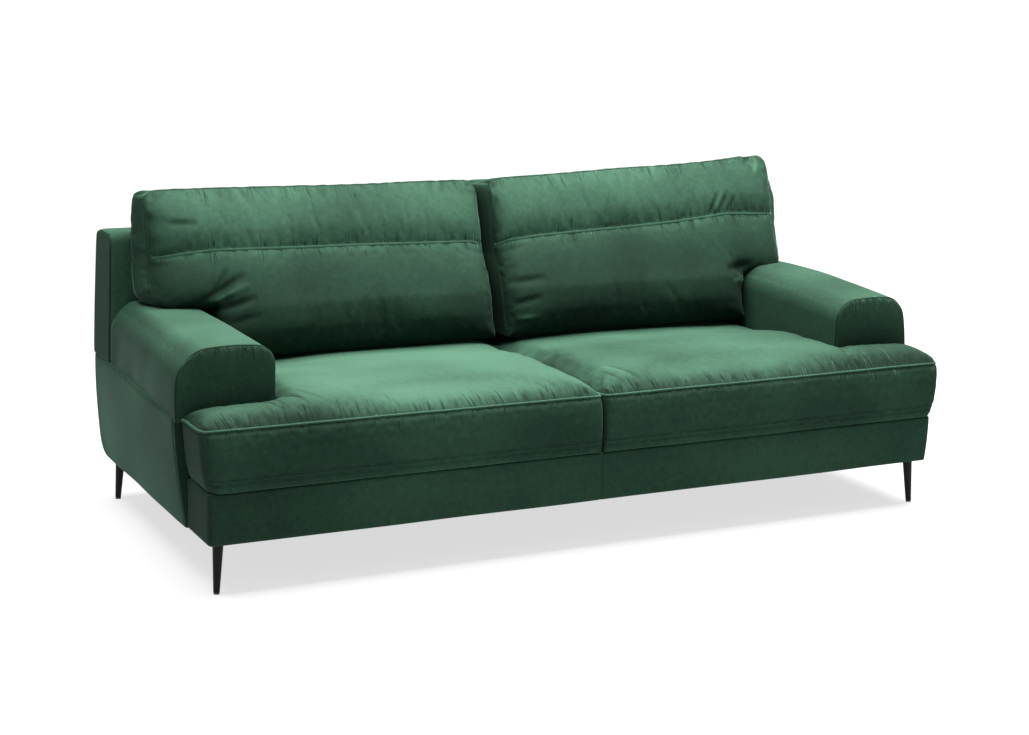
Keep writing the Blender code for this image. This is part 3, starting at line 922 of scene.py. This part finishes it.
def back_cushions(material, thread):
    for side, sign in SIDES.items():
        form = back_form(side)
        low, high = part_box("back_cushion_cover_right")
        piece = form.object(f"back_cushion_{side}", sign)
        inflate(piece, back_held(form), seed=21 + sign)
        sides = form.on(Y, 0), form.on(X, -1), form.on(Z, -1)
        across, through, up, face, end, cap = refine(piece, form, *sides)
        top_z, tuck_z, ear_z = form.lines[2][-1], form.lines[2][form.tuck], form.lines[2][form.notch[1]]
        seed = 60 + 5 * sign
        notch_x = form.lines[X][form.notch[0]]
        behind, before = through * 0.13, (1 - through) * 0.13
        heights = gathered(
            seed,
            (face, across, top_z - up, 0.04, 0.96, 0.019, 0.055, 0.0044, 0.0046, 0.35),
            (face, across, tuck_z - up, 0.03, 0.96, 0.017, 0.045, 0.0040, 0.0044, 0.15),
            (face, across, up - tuck_z, 0.03, 0.96, 0.019, 0.050, 0.0036, 0.0046, 0.25),
            (face, up, across - low.x, 0.46, 0.86, 0.022, 0.070, 0.0042, 0.0062, 0.30),
            (face, up, high.x - across, ear_z + 0.01, 0.86, 0.020, 0.060, 0.0040, 0.0060, 0.30),
            (face * (up < ear_z), up, notch_x - across, 0.46, ear_z, 0.022, 0.050, 0.0034, 0.006),
            (end, up, behind, ear_z, 0.87, 0.018, 0.055, 0.0026, 0.0055),
            (end, up, before, ear_z, 0.87, 0.022, 0.045, 0.0024, 0.006),
            (cap, across, behind, 0.03, 0.97, 0.018, 0.040, 0.0022, 0.0055),
            (cap, across, before, 0.03, 0.97, 0.022, 0.040, 0.0022, 0.006),
        )
        for start, stop, width, height in BACK_FOLDS[side]:
            heights += face * fold(across, up, start, stop, width, height)
        heights += 0.0022 * mottle(read_points(piece), 5.0, seed) * np.clip(face + end + cap, 0, 1)
        from_tuck = np.where(up < tuck_z, 1.0 - (tuck_z - up) / 0.050, 1.0 - (up - tuck_z) / 0.055)
        pleat(piece, across + 2.0 * sign, face * 0.8 * np.maximum(from_tuck, 1.0 - (top_z - up) / 0.055))
        # Painted shade: the front darker from just below the tuck to its foot, and the ends and rear darker;
        # the top a touch paler.
        levels = (0.50, tuck_z - 0.03, tuck_z, top_z)
        painted_shade_by_height = np.interp(up, levels, (-0.68, -0.50, 0.0, 0.05)) + BACK_PAINTED_SHADE[side]
        lift(piece, heights, top=0.1, left=-1.0, right=-0.6, rear=-0.9, extra_painted_light=face * painted_shade_by_height)
        dress(piece, material, "velvet", f"back_cushion_cover_{side}", f"back_cushion_core_{side}", fill=0.8)

        edge, welt, stitch = Trim(), Trim(), Trim()
        notch_i, notch_k = form.notch
        outline = ((0, 2), (0, -1), (-1, -1), (-1, notch_k), (notch_i, notch_k), (notch_i, 2))
        for j in (0, -1):
            points, normals = seam_path(piece, form.chain(*((i, j, k) for i, k in outline)))
            edge.welt(points, normals, 0.0022, 0.0018)
            if j == 0:
                stitch.stitches(points, normals, 0.0042)
                stitch.stitches(points, normals, -0.0042)
        points, normals = seam_path(piece, form.chain((1, 0, form.tuck), (-2, 0, form.tuck)), out=0.0006)
        welt.welt(points, normals, 0.0048, 0.0020)
        for aside in (-0.0066, 0.0066):
            stitch.stitches(points, normals, aside, length=0.0046, wide=0.0009, tall=0.0009)
        # The outline welts are painted in the darkest shade.
        edge.finish(f"back_edge_{side}", material, painted_light_and_shade=-1.0)
        welt.finish(f"back_welt_{side}", material)
        stitch.finish(f"back_thread_{side}", thread)


# ---------------------------------------------------------------- arms, sides and plinth

ARM_OUTER = {"left": 1.085, "right": 1.069}
ARM_FOOT = 1.097
# Painted light and shade on top of each arm, and painted shade on its left side.
ARM_PAINTED_LIGHT_SHADE = {"left": (0.15, -0.72), "right": (-0.15, -0.40)}
# How much the arm top rises towards its rear.
ARM_RISE = {"left": 0.004, "right": 0.026}
# The radius of the outer and the inner top edge.
ARM_ROUND = {"left": (0.066, 0.046), "right": (0.046, 0.058)}


def arms(material, thread):
    low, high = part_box("arm_cover_right")
    for side, sign in SIDES.items():
        outer_x = ARM_OUTER[side]
        xs = spaced(low.x, outer_x, step=0.0075)
        ys = spaced(low.y, 0.17, high.y, step=(0.011, 0.016))
        zs = spaced(low.z, high.z, step=0.0080)
        form = Form(xs, ys, zs)
        x, y, z = form.points.T.copy()
        up = (z - low.z) / (high.z - low.z)
        across = (x - low.x) / (outer_x - low.x)
        outer_radius, inner_radius = ARM_ROUND[side]
        x, z = round_corner(x, z, (outer_x, high.z), (-1, -1), outer_radius)
        x, z = round_corner(x, z, (low.x, high.z), (1, -1), inner_radius)
        back = (y - low.y) / (high.y - low.y)
        flare = (ARM_FOOT - outer_x) * (1 - up) ** 1.2 - 0.022 * smooth_step(back)
        x = x + smooth_step((x - 0.99) / 0.09) * flare
        x = x + smooth_step(across * 2 - 1) * 0.006 * np.sin(np.pi * up)
        y, z = round_corner(y, z, (high.y, high.z), (-1, -1), 0.022)
        inner = np.zeros((len(xs), len(zs)), bool)
        inner[1:-1, 1:-1] = True
        panel = swell(inner, xs, zs, 0.030)
        y = y - form.on(Y, 0) * 0.007 * panel[form.grid[:, X], form.grid[:, Z]]
        rise = 0.008 * np.sin(np.pi * across) + ARM_RISE[side] * np.sin(np.pi * back * 0.75)
        z = z + smooth_step(up) * rise
        z = z - 0.010 * (1 - up) ** 2
        form.points = np.stack((x, y, z), 1)
        piece = form.object(f"arm_{side}", sign)
        sides = form.on(Y, 0), form.on(Z, -1), form.on(X, -1)
        fx, fy, fz, face, cap, ends = refine(piece, form, *sides)
        seed = 80 + 4 * sign
        heights = gathered(
            seed,
            (face, fx, high.z - fz, 0.87, 1.06, 0.0085, 0.034, 0.0040, 0.0036, 0.05),
            (face, fz, outer_x - fx, 0.44, 0.56, 0.012, 0.020, 0.0012, 0.004),
            (cap, fx, fy - low.y, 0.85, 1.07, 0.013, 0.030, 0.0008, 0.004),
        )
        heights += 0.0018 * mottle(read_points(piece), 7.0, seed) * np.clip(face + cap + ends, 0, 1)
        pleat(piece, 1.7 * fx + 3.0 * sign, face * (1.0 - (high.z - fz) / 0.050))
        top_painted_light, left_painted_shade = ARM_PAINTED_LIGHT_SHADE[side]
        # Painted shade on the front, the ends, the rear and the right arm's top; painted light on the left
        # arm's top.
        lift(piece, heights, top=top_painted_light, front=-0.25, left=left_painted_shade, right=-0.6)
        dress(piece, material, "velvet", f"arm_cover_{side}", f"arm_foam_{side}", fill=0.9)

        welt, stitch = Trim(), Trim()
        outline = form.chain((0, 0, 4), (0, 0, -1), (-1, 0, -1), (-1, 0, 0))
        points, normals = seam_path(piece, outline)
        welt.welt(points, normals, 0.0026, 0.0022)
        stitch.stitches(points, normals, 0.0042)
        stitch.stitches(points, normals, -0.0042)
        rear = form.chain((0, -1, 6), (0, -1, -1), (-1, -1, -1), (-1, -1, 0))
        welt.welt(*seam_path(piece, rear), 0.0020, 0.0016)
        # The arm welts are painted in a dark shade.
        welt.finish(f"arm_welt_{side}", material, painted_light_and_shade=-0.9)
        stitch.finish(f"arm_thread_{side}", thread)


HEEL_RADIUS = 0.063
HEEL_CENTRE_Y = 0.4255
SIDE_OUTER = 1.075


def heel(z, underside, seam_y, seam_z=0.41):
    """How far back the body reaches at a height: a rounded heel, then a straight lean out to the seam."""
    centre_z = underside + HEEL_RADIUS
    arc = HEEL_CENTRE_Y + np.sqrt(np.clip(HEEL_RADIUS**2 - (centre_z - z) ** 2, 0, None))
    tangent = HEEL_CENTRE_Y + HEEL_RADIUS
    lean = tangent + (seam_y - tangent) * (z - centre_z) / (seam_z - centre_z)
    return np.where(z < centre_z, arc, lean)


def side_panels(material, thread):
    low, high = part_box("side_panel_right")
    for side, sign in SIDES.items():
        xs = spaced(low.x, SIDE_OUTER, step=0.012)
        ys = spaced(low.y, high.y, step=0.012)
        zs = spaced(low.z, high.z, step=0.011)
        form = Form(xs, ys, zs)
        x, y, z = form.points.T.copy()
        up = (z - low.z) / (high.z - low.z)
        out = (x - low.x) / (SIDE_OUTER - low.x)
        back = (y - low.y) / (high.y - low.y)
        x = x + out * (0.024 * np.sin(up * np.pi / 2) + (0.010 * back - 0.004) * (1 - up))
        x = x + out * 0.004 * np.sin(np.pi * back) * np.sin(np.pi * up)
        x = x - out * (0.010 + 0.012 * up) * smooth_step(back)
        y = low.y + back * (heel(z, low.z, high.y) - low.y)
        z = z - 0.004 * (1 - up) + 0.004 * up
        form.points = np.stack((x, y, z), 1)
        piece = form.object(f"side_{side}", sign)
        _, fy, fz, outer = refine(piece, form, form.on(X, -1))
        seed = 100 + sign
        heights = gathered(seed, (outer, fy, high.z - fz, 0.18, 0.50, 0.020, 0.050, 0.0012, 0.006))
        heights += outer * 0.0018 * mottle(read_points(piece), 5.0, seed)
        # Painted shade on the front, the rear and both sides of each side panel.
        lift(piece, heights, front=-0.6, left=-0.40, right=-0.5)
        dress(piece, material, "velvet", f"side_panel_{side}", fill=0.9)
        welt, stitch = Trim(), Trim()
        points, normals = seam_path(piece, form.chain((-1, 0, 1), (-1, 0, -1)))
        welt.welt(points, normals, 0.0026, 0.0022)
        points, normals = seam_path(piece, form.chain((-1, 0, -1), (-1, -1, -1)))
        welt.welt(points, normals, 0.0012, 0.0010)
        stitch.stitches(points, normals, -0.0048)
        welt.finish(f"side_welt_{side}", material)
        stitch.finish(f"side_thread_{side}", thread)


PLINTH_ROUND = 0.014
# How far the plinth reaches each way, and how much less at the foot of its right end.
PLINTH_HALF = {"left": 1.066, "right": 1.078}
PLINTH_TAPER = 0.008


def plinth(material):
    low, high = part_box("plinth_cover")
    xs = spaced(low.x, -0.009, 0.009, high.x, step=(0.012, 0.003, 0.012))
    ys = spaced(low.y, high.y, step=0.012)
    zs = spaced(low.z, high.z, step=0.009)
    form = Form(xs, ys, zs)
    x, y, z = form.points.T.copy()
    up = (z - low.z) / (high.z - low.z)
    front = 1 - smooth_step((y - low.y) / 0.08)
    x, y = round_corner(x, y, (high.x, low.y), (-1, 1), PLINTH_ROUND)
    x, y = round_corner(x, y, (low.x, low.y), (1, 1), PLINTH_ROUND)
    half = np.where(x < 0, PLINTH_HALF["left"], PLINTH_HALF["right"] - PLINTH_TAPER * (1 - up))
    x = x * half / high.x
    z = z - 0.003 * (1 - up)
    y = y + front * 0.003 * np.exp(-((x / 0.0035) ** 2))
    y = y - front * 0.003 * np.sin(np.pi * up)
    form.points = np.stack((x, y, z), 1)
    piece = form.object("plinth")
    face = refine(piece, form, form.on(Y, 0))[-1]
    # Painted shade on the front, the ends and the rear.
    lift(piece, face * 0.0014 * mottle(read_points(piece), 4.0, 120), front=-0.2, left=-0.9, right=-0.5)
    dress(piece, material, "velvet", "plinth_cover", fill=0.9)


# ---------------------------------------------------------------- fixed back

def fixed_back(material, thread):
    low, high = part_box("back_cover")
    half = 1.085
    xs = spaced(-half, half, step=0.014)
    ys = spaced(low.y, high.y, step=0.012)
    zs = spaced(low.z, high.z, step=0.012)
    form = Form(xs, ys, zs)
    x, y, z = form.points.T.copy()
    y, z = round_corner(y, z, (low.y, high.z), (1, -1), 0.022)
    y, z = round_corner(y, z, (high.y, high.z), (-1, -1), 0.034)
    x, z = round_corner(x, z, (half, high.z), (-1, -1), 0.014)
    x, z = round_corner(x, z, (-half, high.z), (1, -1), 0.010)
    up = (z - low.z) / (high.z - low.z)
    x = x * (1.080 - 0.012 * up) / half
    back = (y - low.y) / (high.y - low.y)
    y = y - back * 0.016 * up**2
    form.points = np.stack((x, y, z), 1)
    piece = form.object("fixed_back")
    _, fy, fz, ends, rear = refine(piece, form, form.on(X, 0) + form.on(X, -1), form.on(Y, -1))
    heights = gathered(131, (ends, fz, fy - low.y, 0.43, 0.75, 0.013, 0.030, 0.0014, 0.0048))
    heights += rear * 0.0020 * mottle(read_points(piece), 4.0, 132)
    # Painted shade on the ends and the rear.
    lift(piece, heights, left=-1.0, right=-0.8)
    dress(piece, material, "velvet", "back_cover", "back_foam", fill=0.9)
    welt, stitch = Trim(), Trim()
    for i in (0, -1):
        points, normals = seam_path(piece, form.chain((i, 0, 0), (i, 0, -1), (i, -1, -1), (i, -1, 0)))
        welt.welt(points, normals, 0.0022, 0.0018)
        stitch.stitches(points, normals, -0.0042 if i == 0 else 0.0042)
    welt.welt(*seam_path(piece, form.chain((0, -1, 0), (-1, -1, 0))), 0.0022, 0.0018)
    # The welts are painted in the darkest shade.
    welt.finish("fixed_back_welt", material, painted_light_and_shade=-1.0)
    stitch.finish("fixed_back_thread", thread)


def rear_upholstery(material, thread):
    low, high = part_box("rear_panel")
    xs = spaced(low.x, high.x, step=0.015)
    ys = spaced(0.0, 1.0, step=0.25)
    zs = spaced(low.z, high.z, step=0.010)
    form = Form(xs, ys, zs)
    x, through, z = form.points.T.copy()
    y = heel(z, low.z, high.y) - (1 - through) * 0.008
    form.points = np.stack((x, y, z), 1)
    piece = form.object("rear_upholstery")
    fx, _, fz, outer = refine(piece, form, form.on(Y, -1))
    heights = outer * 0.0020 * mottle(read_points(piece), 4.0, 141)
    heights += gathered(142, (outer, fx, high.z - fz, -1.02, 1.02, 0.024, 0.040, 0.0010, 0.006))
    # Painted shade on the faces turned to the rear, as lift does by default.
    lift(piece, heights)
    dress(piece, material, "velvet", "rear_panel", fill=0.9)
    stitch = Trim()
    row = len(zs) - 2
    stitch.stitches(*seam_path(piece, form.chain((1, -1, row), (-2, -1, row))))
    stitch.finish("rear_thread", thread)


# ---------------------------------------------------------------- legs and the hard parts inside

def grey(value):
    return (value, value, value)


def hard_parts():
    """The CAD nodes whose shapes are right keep their meshes and get their real materials."""
    lacquer = grained("black_lacquer", grey(0.002), grey(0.005), (1, 1, 0.08), 420, 0.3, gloss=0.12)
    beech = grained("beech", (0.42, 0.26, 0.14), (0.62, 0.43, 0.26), (0.06, 1, 1), 60, 0.6)
    ply = grained("plywood", (0.45, 0.31, 0.18), (0.66, 0.50, 0.33), (1, 0.08, 1), 45, 0.65)
    steel = grained("zinc_steel", (0.42, 0.43, 0.44), (0.60, 0.61, 0.62), (1, 1, 1), 180, 0.38, metallic=1.0)
    felt = grained("grey_felt", grey(0.05), grey(0.12), (1, 1, 1), 900, 0.95, 0.5, 0.001)
    webbing = woven("elastic_webbing", (0.02, 0.02, 0.022), (0.10, 0.10, 0.11), 90, 0.8)
    dark, pale = (0.010, 0.010, 0.011), (0.030, 0.030, 0.032)
    nonwoven = grained("black_nonwoven", dark, pale, (1, 1, 1), 1400, 0.9, 0.4)
    kinds = {
        "leg_plate": steel,
        "leg_": lacquer,
        "seat_spring": steel,
        "rail_": beech,
        "corner_block": beech,
        "arm_": ply,
        "back_webbing": webbing,
        "back_": beech,
        "spring_felt": felt,
        "glide": felt,
        "dust_cloth": nonwoven,
    }
    for name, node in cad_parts.items():
        for start, material in kinds.items():
            if name.startswith(start):
                node.data.materials.clear()
                node.data.materials.append(material)
                break


add_camera()
add_floor()
add_dome()
for box_name, box in SOFTBOXES.items():
    add_softbox(box_name, *box)
green = velvet("green_velvet")
green_thread = velvet("green_thread", [value * 1.5 for value in VELVET_BASE], 0.6)
seat_cushions(green, green_thread)
back_cushions(green, green_thread)
arms(green, green_thread)
side_panels(green, green_thread)
plinth(green)
fixed_back(green, green_thread)
rear_upholstery(green, green_thread)
hard_parts()
